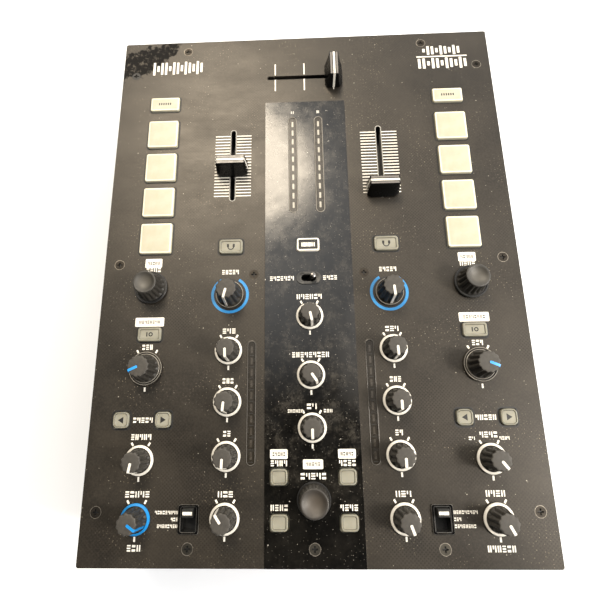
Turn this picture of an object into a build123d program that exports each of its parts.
"""Two-channel DJ battle mixer, modelled in millimetres.

Frame: +X is the user's right, +Y runs from the user to the rear sockets, +Z is up.
The origin is on the table, under the middle of the faceplate.
Every sub-part of the control surface is drawn with z = 0 on the faceplate's upper face
and lifted to PANEL_TOP when it is saved.
"""
from build123d import *
import os

# ---------------------------------------------------------------- driving dimensions
PANEL_W = 267.0            # faceplate width, 10.5 in
PANEL_D = 352.0            # faceplate depth
PANEL_T = 2.0              # faceplate sheet
PANEL_TOP = 92.0           # height of the faceplate's upper face above the table
PANEL_CORNER_R = 1.5
OVERLAY_W = 56.2           # glossy strip down the middle of the faceplate
OVERLAY_FRONT = -120.8
OVERLAY_T = 0.25

FOOT_H = 6.0
FOOT_R = 10.0
FOOT_X = 105.0
FOOT_Y = 145.0
FOOT_RECESS_R = 4.0
FOOT_RECESS_DEEP = 3.0
FOOT_SCREW_HEAD = (3.0, 1.9)    # radius, height

CHASSIS_INSET = 2.0        # the tub stays this far inside the faceplate's edge
SHEET = 1.5                # folded steel of the tub
FLANGE_W = 9.5             # the tub's inward top flange
VENT_COUNT = 9
VENT_SIZE = (3.0, 40.0)
VENT_PITCH = 9.0

# columns and rows of the control surface, from the middle of the faceplate
CHANNEL_X = 50.5
SIDE_X = 101.5
PAD_X = 100.5
METER_X = 36.2
MASTER_METER_X = 9.0
SELECTOR_X = 71.1
STRIP_BUTTON_X = 19.7
BEATS_X = 12.65            # each BEATS button, from its column's middle

TRIM_ROW = 150.8
HI_ROW = 117.6
MID_ROW = 86.9
LOW_ROW = 56.2
FILTER_ROW = 20.5
CUE_ROW = -11.8
FADER_ROW = -72.0
CROSSFADER_ROW = -141.7
MIC_ROW = 151.0
TONE_ROW = 119.6
BEATS_ROW = 96.9
FX_ROW = 66.5
ON_ROW = 45.4
LOOP_ROW = 15.1
PAD_ROW = -97.2            # the front pad
PAD_PITCH = 26.2
PADS_PER_SIDE = 4
BANK_ROW = -121.7
LIBRARY_ROW = 141.0
LOAD_ROW = 152.9
SYNC_ROW = 129.0
MIX_ROW = 102.0
PHONES_ROW = 71.5
SAMPLER_ROW = 35.3
TOGGLE_ROW = 10.4
SHIFT_ROW = -12.0
METER_ROW = 86.7
MASTER_METER_ROW = -71.7
SELECTOR_ROW = 151.1

# rotary controls
KNOB_GAP = 0.8             # under every knob's flange
KNOB_H = 15.2
FILTER_KNOB_H = 17.3
FLANGE_T = 1.2
SPINDLE_R = 3.0
SPINDLE_DEEP = 10.0        # below the faceplate's upper face
SPINDLE_IN_KNOB = 9.0
BUSHING_R = 4.2
BUSHING_BORE_R = 3.4
BUSHING_HOLE_R = 4.6
BUSHING_RISE = 0.4
POT_SIZE = (10.0, 11.0, 7.0)
FLUTE_R = 0.9
POINTER_W = 1.2
POINTER_RISE = 0.25
KNOB_STYLES = {            # flange radius, skirt radius, top radius, height, flutes
    "small": (8.5, 7.4, 5.6, KNOB_H, 11),
    "effect": (10.3, 8.3, 6.3, KNOB_H, 13),
    "filter": (8.9, 7.9, 6.2, FILTER_KNOB_H, 12),
}
KNOBS = {                  # x, y, style, pointer's angle clockwise from the rear
    "ch1_trim_knob": (-CHANNEL_X, TRIM_ROW, "small", -19),
    "ch2_trim_knob": (CHANNEL_X, TRIM_ROW, "small", 145),
    "ch1_hi_knob": (-CHANNEL_X, HI_ROW, "small", 0),
    "ch2_hi_knob": (CHANNEL_X, HI_ROW, "small", 2),
    "ch1_mid_knob": (-CHANNEL_X, MID_ROW, "small", 0),
    "ch2_mid_knob": (CHANNEL_X, MID_ROW, "small", 5),
    "ch1_low_knob": (-CHANNEL_X, LOW_ROW, "small", -2),
    "ch2_low_knob": (CHANNEL_X, LOW_ROW, "small", -2),
    "ch1_filter_knob": (-CHANNEL_X, FILTER_ROW, "filter", -4),
    "ch2_filter_knob": (CHANNEL_X, FILTER_ROW, "filter", 14),
    "fx1_knob": (-SIDE_X, FX_ROW, "effect", -67),
    "fx2_knob": (SIDE_X, FX_ROW, "effect", 65),
    "mic_level_knob": (-SIDE_X, MIC_ROW, "small", -27),
    "mic_tone_knob": (-SIDE_X, TONE_ROW, "small", -38),
    "master_knob": (SIDE_X, MIC_ROW, "small", -56),
    "booth_knob": (SIDE_X, TONE_ROW, "small", 10),
    "headphone_mix_knob": (0, MIX_ROW, "small", 0),
    "headphone_level_knob": (0, PHONES_ROW, "small", -34),
    "sampler_knob": (0, SAMPLER_ROW, "small", -12),
}

# push encoders
ENCODER_GAP = 1.2
ENCODER_H = 14.4
ENCODER_IN_KNOB = 9.0
ENCODER_FIT = 0.1          # the knob's bore around its shaft
ENCODER_END_GAP = 0.4
ENCODER_DISH_R = 14.0      # the thumb hollow in the top
ENCODER_DISH_DEEP = 0.9
ENCODERS = {               # x, y, foot radius, top radius
    "loop_1": (-SIDE_X, LOOP_ROW, 10.6, 7.3),
    "loop_2": (SIDE_X, LOOP_ROW, 10.6, 7.3),
    "library": (0, LIBRARY_ROW, 9.7, 8.0),
}

# buttons
BUTTON_GAP = 0.5           # round every button's cap
BUTTON_FILLET = 0.5
LIP_W = 1.2                # the lip that keeps a button under the faceplate
LIP_T = 1.0
LIP_GAP = 0.3
STEM_FOOT = -9.6
BUTTON_STYLES = {          # width, depth, corner radius, rise above the faceplate, stem side
    "pad": (21.1, 21.1, 1.3, 2.0, 8.0),
    "bank": (20.7, 10.7, 1.0, 1.8, 5.0),
    "cue": (15.4, 9.6, 2.0, 1.8, 4.0),
    "shift": (14.6, 8.7, 1.6, 1.8, 4.0),
    "on": (14.6, 8.6, 1.6, 1.8, 4.0),
    "square": (10.4, 9.2, 2.0, 1.8, 4.0),
}

# faders
FADER_TRAVEL = 45.0
FADER_SLOT = (FADER_TRAVEL + 8.6, 3.0)
FADER_CAP_GAP = 0.8
FADER_CAP_H = 13.4
FADER_CAP_FOOT = (20.8, 13.6)   # across the slot, along the slot
FADER_CAP_RIDGE = (19.2, 5.0)
FADER_CAP_SKIRT_H = 2.6
FADER_TAB = (4.0, 1.2)          # along the slot, across the slot
FADER_TAB_IN_CAP = 6.0
FADER_CARRIAGE = (7.0, 5.0, 3.6)
FADER_BODY = (62.0, 9.4, 9.0)
FADER_WALL = 1.4
FADER_BODY_TOP = -5.0
FADERS = {                      # x, y of the slot's middle, turn of the slot, place along it
    "ch1_fader": (-CHANNEL_X, FADER_ROW, 90, 21.5),
    "ch2_fader": (CHANNEL_X, FADER_ROW, 90, 3.5),
    "crossfader": (0, CROSSFADER_ROW, 0, -21.0),
}

# three-place input selectors
SELECTOR_BEZEL = (11.8, 15.4, 0.8)
SELECTOR_WINDOW = (8.4, 12.6)
SELECTOR_CORNER_R = 1.2
SELECTOR_STEP = 3.6
SELECTOR_LEVER = (6.6, 4.6, 4.0)
SELECTOR_LEVER_FOOT = -8.0
SELECTOR_BODY_TOP = -2.6
SELECTOR_BODY_WALL = 1.4

# two-place toggle
TOGGLE_BEZEL = (15.8, 8.3, 0.6)
TOGGLE_WINDOW = (9.6, 4.6)
TOGGLE_THROW = 12.0             # each way from upright, in degrees
TOGGLE_PIVOT = -6.5
TOGGLE_LEVER_R = 1.5
TOGGLE_LEVER_RISE = 8.0
TOGGLE_BALL_R = 2.4
TOGGLE_BODY = (13.0, 8.0, 9.0)

# level meters
METER_SLOT = (72.7, 5.4)
METER_BAR_GAP = 0.2
METER_BAR_DROP = 0.9

# control board under the faceplate
BOARD_TOP = -16.0
BOARD_T = 1.6
BOARD_W = 238.0
BOARD_D = 316.0
SWITCH_SIZE = (6.0, 6.0, 5.0)
SPACER_R = 3.0

# screws
SCREW_HEAD_R = 3.1
SCREW_HEAD_H = 1.7
SCREW_R = 1.5
SCREW_LENGTH = 8.0
DRIVE_W = 0.9
DRIVE_LENGTH = 3.4
DRIVE_DEEP = 1.1
EDGE_SCREWS = [
    (125.0, 147.5),
    (123.8, -1.0),
    (124.0, -147.5),
    (86.0, -167.5),
    (71.2, 166.3),
]
BOARD_SCREW = (35.3, 7.3)

# sockets
REAR_WALL = PANEL_D / 2 - CHASSIS_INSET
SOCKET_ROWS = (62.0, 40.0)      # heights above the table
PHONO_X = (-108.0, -90.0, -72.0, 26.0, 44.0, 62.0)
PHONO_R = 4.15
PHONO_OUT = 8.0
PHONO_BORE_R = 1.7
PHONO_BORE_DEEP = 10.0
PHONO_BLOCK = (14.0, 18.0, 17.0)
JACK_X = (-46.0, -22.0)
JACK_NOSE_R = 6.0
JACK_OUT = 2.0
JACK_BORE_R = 3.25
JACK_BORE_DEEP = 24.0
JACK_BLOCK = (16.0, 28.0, 18.0)
MINI_BORE_R = 1.8
MINI_BORE_DEEP = 15.0
MINI_NOSE_R = 3.6
MINI_BLOCK = (11.0, 18.0, 10.0)
USB_X = (84.0, 104.0)
USB_BLOCK = (12.0, 17.0, 11.0)
USB_OPENING = (8.5, 7.8, 9.0)
USB_TONGUE = (5.6, 3.2, 8.0)
USB_OUT = 0.6
INLET_X = 2.0
INLET_BLOCK = (12.0, 16.0, 12.0)
INLET_BORE_R = 3.1
INLET_PIN_R = 1.05
INLET_DEEP = 10.0
INLET_OUT = 0.6
NUT_RIM = 2.2                   # from a round socket's nose to the nut's corners
NUT_H = 1.5
HOLE_GAP = 0.4                  # round each socket in its wall
SOCKET_BOARD = (236.0, 60.0, 1.6)
SOCKET_BOARD_Z = 24.0
PILLAR_R = 3.0
PHONES_BIG_X = -104.0
PHONES_MINI_X = -84.0
PHONES_Z = 62.0

LOW = (Align.CENTER, Align.CENTER, Align.MIN)
HIGH = (Align.CENTER, Align.CENTER, Align.MAX)
SIDES = (-1, 1)
PLATE_BOTTOM = -PANEL_T


def button_table():
    """Every button's name, place and style, as (name, x, y, style)."""
    buttons = [("shift_button", 0, SHIFT_ROW, "shift")]
    for number, side in ((1, -1), (2, 1)):
        column = side * SIDE_X
        buttons.append((f"bank_{number}_button", side * PAD_X, BANK_ROW, "bank"))
        for index in range(PADS_PER_SIDE):
            name = f"pad_{number}_{index + 1}"
            buttons.append((name, side * PAD_X, PAD_ROW + index * PAD_PITCH, "pad"))
        buttons.append((f"ch{number}_cue_button", side * CHANNEL_X, CUE_ROW, "cue"))
        buttons.append((f"fx{number}_on_button", side * PAD_X, ON_ROW, "on"))
        buttons.append((f"beats_{number}_left_button", column - BEATS_X, BEATS_ROW, "square"))
        buttons.append((f"beats_{number}_right_button", column + BEATS_X, BEATS_ROW, "square"))
        buttons.append((f"sync_{number}_button", side * STRIP_BUTTON_X, SYNC_ROW, "square"))
        buttons.append((f"load_{number}_button", side * STRIP_BUTTON_X, LOAD_ROW, "square"))
    return buttons


def meter_places():
    """Middle of each of the four level meters."""
    places = [(side * METER_X, METER_ROW) for side in SIDES]
    return places + [(side * MASTER_METER_X, MASTER_METER_ROW) for side in SIDES]


def edge_screw_places():
    """Faceplate screws that go into the tub's flange."""
    places = [(side * x, y) for x, y in EDGE_SCREWS for side in SIDES]
    return places + [(0, EDGE_SCREWS[-1][1])]


def board_screw_places():
    """Faceplate screws that go into the control board's spacers."""
    return [(side * BOARD_SCREW[0], BOARD_SCREW[1]) for side in SIDES]


def lift(part):
    """Move a control surface part up to the faceplate."""
    return Pos(0, 0, PANEL_TOP) * part


def block(width, depth, height, z_low):
    """A box centred on the Z axis, standing on z_low."""
    return Pos(0, 0, z_low) * Box(width, depth, height, align=LOW)


def rod(radius, z_low, z_high):
    """An upright round bar on the Z axis."""
    return Pos(0, 0, z_low) * Cylinder(radius, z_high - z_low, align=LOW)


def save(name, solids):
    """Write one node, as a group of separate solids."""
    group = Compound(children=[solid for part in solids for solid in part.solids()])
    export_step(group, f"parts/{name}.step")


# ---------------------------------------------------------------- faceplate
def faceplate_openings():
    """Outline of every hole that the controls come through."""
    holes = [Pos(x, y) * Circle(BUSHING_HOLE_R) for x, y, _, _ in KNOBS.values()]
    holes += [Pos(x, y) * Circle(BUSHING_HOLE_R) for x, y, _, _ in ENCODERS.values()]
    for _, x, y, style in button_table():
        width, depth, corner, _, _ = BUTTON_STYLES[style]
        outline = RectangleRounded(width + 2 * BUTTON_GAP, depth + 2 * BUTTON_GAP, corner + BUTTON_GAP)
        holes.append(Pos(x, y) * outline)
    for x, y, turn, _ in FADERS.values():
        holes.append(Pos(x, y) * Rot(0, 0, turn) * SlotOverall(*FADER_SLOT))
    holes += [Pos(x, y) * Rot(0, 0, 90) * SlotOverall(*METER_SLOT) for x, y in meter_places()]
    holes += [Pos(side * SELECTOR_X, SELECTOR_ROW) * Rectangle(*SELECTOR_WINDOW) for side in SIDES]
    holes.append(Pos(0, TOGGLE_ROW) * SlotOverall(*TOGGLE_WINDOW))
    return holes


def countersink():
    """Room for one screw through the faceplate."""
    cone = Pos(0, 0, -SCREW_HEAD_H) * Cone(SCREW_R, SCREW_HEAD_R, SCREW_HEAD_H, align=LOW)
    return cone + rod(SCREW_R, PLATE_BOTTOM - 1, -SCREW_HEAD_H)


def selector_bezel(side):
    width, depth, height = SELECTOR_BEZEL
    frame = RectangleRounded(width, depth, SELECTOR_CORNER_R) - Rectangle(*SELECTOR_WINDOW)
    return Pos(side * SELECTOR_X, SELECTOR_ROW) * extrude(frame, height)


def toggle_bezel():
    length, width, height = TOGGLE_BEZEL
    frame = SlotOverall(length, width) - SlotOverall(*TOGGLE_WINDOW)
    return Pos(0, TOGGLE_ROW, OVERLAY_T) * extrude(frame, height)


def overlay(holes):
    """The glossy strip, a thin film with the same openings as the sheet below."""
    length = PANEL_D / 2 - OVERLAY_FRONT
    strip = Pos(0, OVERLAY_FRONT + length / 2) * Rectangle(OVERLAY_W, length)
    screw = Pos(0, EDGE_SCREWS[-1][1]) * Circle(SCREW_HEAD_R)
    return extrude(strip - holes - screw, OVERLAY_T)


def faceplate():
    holes = faceplate_openings()
    sheet = RectangleRounded(PANEL_W, PANEL_D, PANEL_CORNER_R) - holes
    plate = extrude(sheet, -PANEL_T)
    places = edge_screw_places() + board_screw_places()
    plate -= [Pos(x, y) * countersink() for x, y in places]
    bezels = [selector_bezel(side) for side in SIDES] + [toggle_bezel()]
    return [lift(part) for part in [plate, overlay(holes)] + bezels]


# ---------------------------------------------------------------- tub
def socket_cutters():
    """Holes in the rear and front walls, one round or square hole for each socket."""
    depth = 4 * SHEET
    rear = Pos(0, REAR_WALL, 0)
    front = Pos(0, -REAR_WALL, 0)
    across = Rot(90, 0, 0)
    cutters = []
    for x in PHONO_X:
        for z in SOCKET_ROWS:
            cutters.append(rear * Pos(x, 0, z) * across * Cylinder(PHONO_R + HOLE_GAP, depth))
    for x in JACK_X:
        for z in SOCKET_ROWS:
            cutters.append(rear * Pos(x, 0, z) * across * Cylinder(JACK_NOSE_R + HOLE_GAP, depth))
    usb_w, _, usb_h = USB_BLOCK
    for x in USB_X:
        cutters.append(rear * Pos(x, 0, SOCKET_ROWS[1]) * Box(usb_w + HOLE_GAP, depth, usb_h + HOLE_GAP))
    inlet_w, _, inlet_h = INLET_BLOCK
    cutters.append(rear * Pos(INLET_X, 0, SOCKET_ROWS[1]) * Box(inlet_w + HOLE_GAP, depth, inlet_h + HOLE_GAP))
    for x, radius in ((PHONES_BIG_X, JACK_NOSE_R), (PHONES_MINI_X, MINI_NOSE_R)):
        cutters.append(front * Pos(x, 0, PHONES_Z) * across * Cylinder(radius + HOLE_GAP, depth))
    return cutters


def vents():
    """Slots through the tub's floor, in a row each side of the middle."""
    slot = Rot(0, 0, 90) * SlotOverall(VENT_SIZE[1], VENT_SIZE[0])
    cutter = Pos(0, 0, FOOT_H - SHEET) * extrude(slot, 3 * SHEET)
    start = -VENT_PITCH * (VENT_COUNT - 1) / 2
    rows = []
    for y in (-60.0, 60.0):
        rows += [Pos(start + index * VENT_PITCH, y, 0) * cutter for index in range(VENT_COUNT)]
    return rows


def chassis():
    """Folded steel tub: floor, four walls and an inward flange under the faceplate."""
    width = PANEL_W - 2 * CHASSIS_INSET
    depth = PANEL_D - 2 * CHASSIS_INSET
    height = PANEL_TOP - PANEL_T - FOOT_H
    tub = block(width, depth, height, FOOT_H)
    tub -= block(width - 2 * SHEET, depth - 2 * SHEET, height - 2 * SHEET, FOOT_H + SHEET)
    tub -= block(width - 2 * FLANGE_W, depth - 2 * FLANGE_W, 3 * SHEET, PANEL_TOP - PANEL_T - 2 * SHEET)
    screw_hole = rod(SCREW_R, PANEL_TOP - 6 * SHEET, PANEL_TOP)
    cutters = [Pos(x, y) * screw_hole for x, y in edge_screw_places()]
    cutters += [Pos(sx * FOOT_X, sy * FOOT_Y, 0) * rod(SCREW_R, 0, 3 * FOOT_H) for sx in SIDES for sy in SIDES]
    return [tub - (cutters + vents() + socket_cutters())]


# ---------------------------------------------------------------- rotary controls
def pointer_rib(top_r, z):
    return Pos(0, top_r / 2, z) * Box(POINTER_W, top_r, POINTER_RISE, align=LOW)


def knob_cap(style):
    """A tapered cap with a flange at its foot, finger flutes and a raised pointer."""
    flange_r, skirt_r, top_r, height, flutes = KNOB_STYLES[style]
    skirt = Pos(0, 0, FLANGE_T) * Cone(skirt_r, top_r, height - FLANGE_T, align=LOW)
    lean = Vector(0, 0, 1).get_angle(Vector(skirt_r - top_r, 0, height - FLANGE_T))
    flute = Pos(skirt_r + FLUTE_R / 2, 0, FLANGE_T) * Rot(0, -lean, 0) * Cylinder(FLUTE_R, height, align=LOW)
    skirt -= [Rot(0, 0, 360 * (index + 0.5) / flutes + 90) * flute for index in range(flutes)]
    cap = Cylinder(flange_r, FLANGE_T, align=LOW) + skirt + pointer_rib(top_r, height)
    return Pos(0, 0, KNOB_GAP) * cap


def spindle():
    return rod(SPINDLE_R, -SPINDLE_DEEP, KNOB_GAP + SPINDLE_IN_KNOB)


def save_knobs():
    """Each knob is a cap pressed on its own potentiometer spindle."""
    caps = {style: knob_cap(style) - spindle() for style in KNOB_STYLES}
    for name, (x, y, style, angle) in KNOBS.items():
        place = Pos(x, y, 0) * Rot(0, 0, -angle)
        save(name, [lift(place * caps[style]), lift(place * spindle())])


def encoder_shaft():
    return rod(SPINDLE_R, -SPINDLE_DEEP, ENCODER_GAP + ENCODER_IN_KNOB)


def encoder_cap(foot_r, top_r):
    """A round cap with a curved flank and a thumb hollow in its top."""
    with BuildPart() as cap:
        with BuildSketch(Plane.XZ):
            with BuildLine():
                foot = Line((0, 0), (foot_r, 0))
                rim = Line(foot @ 1, (foot_r, FLANGE_T))
                flank = ThreePointArc(
                    rim @ 1,
                    ((foot_r + top_r) / 2 - 0.5, ENCODER_H / 2),
                    (top_r, ENCODER_H),
                )
                Line(flank @ 1, (0, ENCODER_H))
                Line((0, ENCODER_H), (0, 0))
            make_face()
        revolve(axis=Axis.Z)
    dish = Pos(0, 0, ENCODER_H + ENCODER_DISH_R - ENCODER_DISH_DEEP) * Sphere(ENCODER_DISH_R)
    bore = Cylinder(SPINDLE_R + ENCODER_FIT, ENCODER_IN_KNOB + ENCODER_END_GAP, align=LOW)
    return Pos(0, 0, ENCODER_GAP) * (cap.part - dish - bore)


def save_encoders():
    for name, (x, y, foot_r, top_r) in ENCODERS.items():
        place = Pos(x, y, 0)
        save(f"{name}_encoder_shaft", [lift(place * encoder_shaft())])
        save(f"{name}_encoder_knob", [lift(place * encoder_cap(foot_r, top_r))])


# ---------------------------------------------------------------- buttons
def button(style):
    """A cap through the faceplate, with a lip that holds it under the sheet and a stem."""
    width, depth, corner, rise, stem = BUTTON_STYLES[style]
    lip_top = PLATE_BOTTOM - LIP_GAP
    outline = RectangleRounded(width, depth, corner)
    cap = Pos(0, 0, lip_top) * extrude(outline, rise - lip_top)
    cap = fillet(cap.faces().sort_by(Axis.Z)[-1].edges(), BUTTON_FILLET)
    lip = RectangleRounded(width + 2 * LIP_W, depth + 2 * LIP_W, corner)
    cap += Pos(0, 0, lip_top - LIP_T) * extrude(lip, LIP_T)
    return cap + block(stem, stem, lip_top - LIP_T - STEM_FOOT, STEM_FOOT)


def save_buttons():
    caps = {style: button(style) for style in BUTTON_STYLES}
    for name, x, y, style in button_table():
        save(name, [lift(Pos(x, y, 0) * caps[style])])


# ---------------------------------------------------------------- faders, selectors, toggle
def fader_tab():
    """The metal tab that goes down through the slot to its carriage."""
    length, width = FADER_TAB
    carriage_l, carriage_w, carriage_h = FADER_CARRIAGE
    floor = FADER_BODY_TOP - FADER_WALL - LIP_GAP - carriage_h
    carriage = block(carriage_l, carriage_w, carriage_h, floor)
    top = FADER_CAP_GAP + FADER_TAB_IN_CAP
    return carriage + block(length, width, top - floor - carriage_h, floor + carriage_h)


def fader_cap():
    """A cap with a wide foot that slopes up to a narrow ridge across the slot."""
    foot_w, foot_l = FADER_CAP_FOOT
    ridge_w, ridge_l = FADER_CAP_RIDGE
    foot = Pos(0, 0, FADER_CAP_GAP) * Rectangle(foot_l, foot_w)
    skirt = extrude(foot, FADER_CAP_SKIRT_H)
    lower = Pos(0, 0, FADER_CAP_GAP + FADER_CAP_SKIRT_H) * Rectangle(foot_l, foot_w)
    upper = Pos(0, 0, FADER_CAP_GAP + FADER_CAP_H) * Rectangle(ridge_l, ridge_w)
    return skirt + loft([lower, upper])


def save_faders():
    cap = fader_cap() - fader_tab()
    for name, (x, y, turn, along) in FADERS.items():
        place = Pos(x, y, 0) * Rot(0, 0, turn) * Pos(along, 0, 0)
        save(name, [lift(place * cap), lift(place * fader_tab())])


def save_selectors():
    """Each lever rests in its front place, one step short of the middle."""
    width, depth, rise = SELECTOR_LEVER
    lever = block(width, depth, rise - SELECTOR_LEVER_FOOT, SELECTOR_LEVER_FOOT)
    top_edges = lever.faces().sort_by(Axis.Z)[-1].edges()
    lever = fillet(top_edges, BUTTON_FILLET)
    for number, side in ((1, -1), (2, 1)):
        place = Pos(side * SELECTOR_X, SELECTOR_ROW - SELECTOR_STEP, 0)
        save(f"ch{number}_input_lever", [lift(place * lever)])


def toggle_lever():
    """A bat lever on a ball, thrown to the left."""
    bat = rod(TOGGLE_LEVER_R, 0, TOGGLE_LEVER_RISE - TOGGLE_PIVOT)
    tip = bat.faces().sort_by(Axis.Z)[-1].edges()
    bat = fillet(tip, BUTTON_FILLET) + Sphere(TOGGLE_BALL_R)
    return Pos(0, TOGGLE_ROW, TOGGLE_PIVOT) * Rot(0, -TOGGLE_THROW, 0) * bat


# ---------------------------------------------------------------- control board
def pot_body(rise):
    """Potentiometer or encoder case with its threaded bushing."""
    width, depth, height = POT_SIZE
    case_top = BOARD_TOP + height
    case = block(width, depth, height, BOARD_TOP)
    bushing = rod(BUSHING_R, case_top, rise)
    room = rod(BUSHING_BORE_R, -SPINDLE_DEEP - KNOB_GAP - ENCODER_GAP, rise)
    return case + bushing - room


def fader_body():
    length, width, height = FADER_BODY
    case = Pos(0, 0, FADER_BODY_TOP) * Box(length, width, height, align=HIGH)
    room = Pos(0, 0, FADER_BODY_TOP - FADER_WALL)
    room *= Box(length - 2 * FADER_WALL, width - 2 * FADER_WALL, height - 2 * FADER_WALL, align=HIGH)
    slot = extrude(SlotOverall(FADER_SLOT[0], FADER_SLOT[1]), FADER_BODY_TOP - FADER_WALL)
    foot_h = FADER_BODY_TOP - height - BOARD_TOP
    return case - room - slot + block(length, width, foot_h, BOARD_TOP)


def selector_body():
    """Slide switch case, open at the top for the lever's travel."""
    width, depth = SELECTOR_WINDOW
    wall = SELECTOR_BODY_WALL
    case = block(width + 2 * wall, depth + 2 * wall, SELECTOR_BODY_TOP - BOARD_TOP, BOARD_TOP)
    return case - block(width, depth, -SELECTOR_LEVER_FOOT, SELECTOR_LEVER_FOOT - LIP_GAP)


def toggle_body():
    width, depth, height = TOGGLE_BODY
    case = block(width, depth, height, BOARD_TOP + 2 * SHEET)
    room = 2 * TOGGLE_BALL_R + 2 * LIP_GAP
    case -= block(width - 2 * SHEET, room, height, TOGGLE_PIVOT - TOGGLE_BALL_R - LIP_GAP)
    return case + block(width, depth, 2 * SHEET, BOARD_TOP)


def meter_bar(x, y):
    """Light bar with its window just below the faceplate's upper face."""
    length = METER_SLOT[0] - 2 * METER_BAR_GAP
    width = METER_SLOT[1] - 2 * METER_BAR_GAP
    window = extrude(Rot(0, 0, 90) * SlotOverall(length, width), -BOARD_TOP - METER_BAR_DROP)
    return Pos(x, y, BOARD_TOP) * window


def spacer():
    return rod(SPACER_R, BOARD_TOP, PLATE_BOTTOM) - rod(SCREW_R, BOARD_TOP, PLATE_BOTTOM)


def control_board():
    """The board with every switch, potentiometer, encoder, fader case and light bar on it."""
    parts = [Pos(0, 0, BOARD_TOP) * Box(BOARD_W, BOARD_D, BOARD_T, align=HIGH)]
    pot = pot_body(BUSHING_RISE)
    parts += [Pos(x, y, 0) * pot for x, y, _, _ in KNOBS.values()]
    parts += [Pos(x, y, 0) * pot for x, y, _, _ in ENCODERS.values()]
    switch = block(*SWITCH_SIZE, BOARD_TOP)
    parts += [Pos(x, y, 0) * switch for _, x, y, _ in button_table()]
    parts += [Pos(x, y, 0) * Rot(0, 0, turn) * fader_body() for x, y, turn, _ in FADERS.values()]
    parts += [Pos(side * SELECTOR_X, SELECTOR_ROW, 0) * selector_body() for side in SIDES]
    parts.append(Pos(0, TOGGLE_ROW, 0) * toggle_body())
    parts += [meter_bar(x, y) for x, y in meter_places()]
    parts += [Pos(x, y, 0) * spacer() for x, y in board_screw_places()]
    return [lift(part) for part in parts]


# ---------------------------------------------------------------- sockets
def round_socket(case, nose_r, out, bore_r, bore_deep):
    """Socket that faces +Y, with its case behind the wall at y = 0."""
    width, depth, height = case
    forward = Rot(-90, 0, 0)
    body = Pos(0, -SHEET - depth / 2, 0) * Box(width, depth, height)
    body += Pos(0, -SHEET, 0) * forward * Cylinder(nose_r, SHEET + out, align=LOW)
    return body - Pos(0, out - bore_deep, 0) * forward * Cylinder(bore_r, bore_deep, align=LOW)


def square_socket(case, out):
    """Plain square socket shell that passes through the wall at y = 0."""
    width, depth, height = case
    return Pos(0, out - depth / 2, 0) * Box(width, depth, height)


def usb_socket():
    width, height, deep = USB_OPENING
    tongue_w, tongue_h, tongue_deep = USB_TONGUE
    shell = square_socket(USB_BLOCK, USB_OUT)
    shell -= Pos(0, USB_OUT - deep / 2, 0) * Box(width, deep, height)
    return shell + Pos(0, USB_OUT - deep + tongue_deep / 2, 0) * Box(tongue_w, tongue_deep, tongue_h)


def power_inlet():
    forward = Rot(-90, 0, 0)
    mouth = Pos(0, INLET_OUT - INLET_DEEP, 0) * forward
    shell = square_socket(INLET_BLOCK, INLET_OUT)
    shell -= mouth * Cylinder(INLET_BORE_R, INLET_DEEP, align=LOW)
    return shell + mouth * Cylinder(INLET_PIN_R, INLET_DEEP - 1, align=LOW)


def sockets():
    """Rear sockets on their board, and the two headphone sockets behind the front wall."""
    rear = Pos(0, REAR_WALL, 0)
    front = Pos(0, -REAR_WALL, 0)
    phono = round_socket(PHONO_BLOCK, PHONO_R, PHONO_OUT, PHONO_BORE_R, PHONO_BORE_DEEP)
    jack = round_socket(JACK_BLOCK, JACK_NOSE_R, JACK_OUT, JACK_BORE_R, JACK_BORE_DEEP)
    mini = round_socket(MINI_BLOCK, MINI_NOSE_R, JACK_OUT, MINI_BORE_R, MINI_BORE_DEEP)
    parts = [rear * Pos(x, 0, z) * phono for x in PHONO_X for z in SOCKET_ROWS]
    parts += [rear * Pos(x, 0, z) * jack for x in JACK_X for z in SOCKET_ROWS]
    parts += [rear * Pos(x, 0, SOCKET_ROWS[1]) * usb_socket() for x in USB_X]
    parts.append(rear * Pos(INLET_X, 0, SOCKET_ROWS[1]) * power_inlet())
    parts.append(front * Pos(PHONES_BIG_X, 0, PHONES_Z) * Rot(0, 0, 180) * jack)
    parts.append(front * Pos(PHONES_MINI_X, 0, PHONES_Z) * Rot(0, 0, 180) * mini)
    width, depth, thick = SOCKET_BOARD
    board_y = REAR_WALL - 2 * SHEET - depth / 2
    parts.append(Pos(0, board_y, SOCKET_BOARD_Z) * Box(width, depth, thick, align=LOW))
    floor = FOOT_H + SHEET
    for side in SIDES:
        for y in (board_y - depth / 3, board_y + depth / 3):
            parts.append(Pos(side * width / 2.2, y, 0) * rod(PILLAR_R, floor, SOCKET_BOARD_Z))
    return parts


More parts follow.
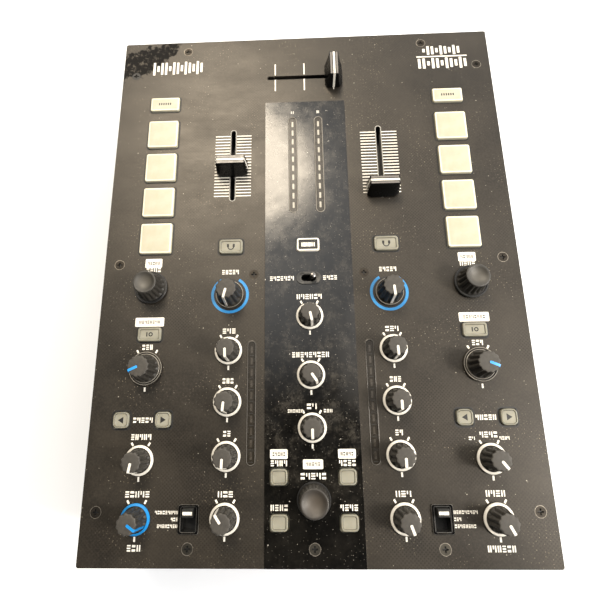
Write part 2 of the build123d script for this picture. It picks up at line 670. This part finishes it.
# ---------------------------------------------------------------- screws, nuts and feet
def screw():
    """Countersunk cross-head screw, head flush with z = 0."""
    head = Pos(0, 0, -SCREW_HEAD_H) * Cone(SCREW_R, SCREW_HEAD_R, SCREW_HEAD_H, align=LOW)
    cross = Box(DRIVE_LENGTH, DRIVE_W, DRIVE_DEEP, align=HIGH) + Box(DRIVE_W, DRIVE_LENGTH, DRIVE_DEEP, align=HIGH)
    return head + rod(SCREW_R, -SCREW_LENGTH, -SCREW_HEAD_H) - cross


def socket_nut(nose_r):
    """Hexagon nut on a jack's nose, facing +Y from the wall at y = 0."""
    outline = RegularPolygon(nose_r + NUT_RIM, 6) - Circle(nose_r)
    return Rot(-90, 0, 0) * extrude(outline, NUT_H)


def socket_nuts():
    rear = Pos(0, REAR_WALL, 0)
    front = Pos(0, -REAR_WALL, PHONES_Z)
    big, mini = socket_nut(JACK_NOSE_R), socket_nut(MINI_NOSE_R)
    nuts = [rear * Pos(x, 0, z) * big for x in JACK_X for z in SOCKET_ROWS]
    nuts.append(front * Pos(PHONES_BIG_X, 0, 0) * Rot(0, 0, 180) * big)
    nuts.append(front * Pos(PHONES_MINI_X, 0, 0) * Rot(0, 0, 180) * mini)
    return nuts


def foot_screw():
    """Pan-head screw up through a foot and the tub's floor."""
    radius, height = FOOT_SCREW_HEAD
    head = rod(radius, FOOT_RECESS_DEEP - height, FOOT_RECESS_DEEP)
    return head + rod(SCREW_R, FOOT_RECESS_DEEP, FOOT_H + 3 * SHEET)


def four_corners(part):
    """Copies of a part at the four feet."""
    return [Pos(sx * FOOT_X, sy * FOOT_Y, 0) * part for sx in SIDES for sy in SIDES]


def fasteners():
    places = edge_screw_places() + board_screw_places()
    screws = [lift(Pos(x, y, 0) * screw()) for x, y in places]
    return screws + socket_nuts() + four_corners(foot_screw())


def rubber_feet():
    foot = rod(FOOT_R, 0, FOOT_H) - rod(FOOT_RECESS_R, 0, FOOT_RECESS_DEEP)
    return four_corners(foot - rod(SCREW_R, FOOT_RECESS_DEEP, FOOT_H))


def main():
    os.makedirs("parts", exist_ok=True)
    save("faceplate", faceplate())
    save("chassis", chassis())
    save("control_board", control_board())
    save("sockets", sockets())
    save("fasteners", fasteners())
    save("rubber_feet", rubber_feet())
    save_knobs()
    save_encoders()
    save_buttons()
    save_faders()
    save_selectors()
    save("cues_sampler_toggle", [lift(toggle_lever())])


main()
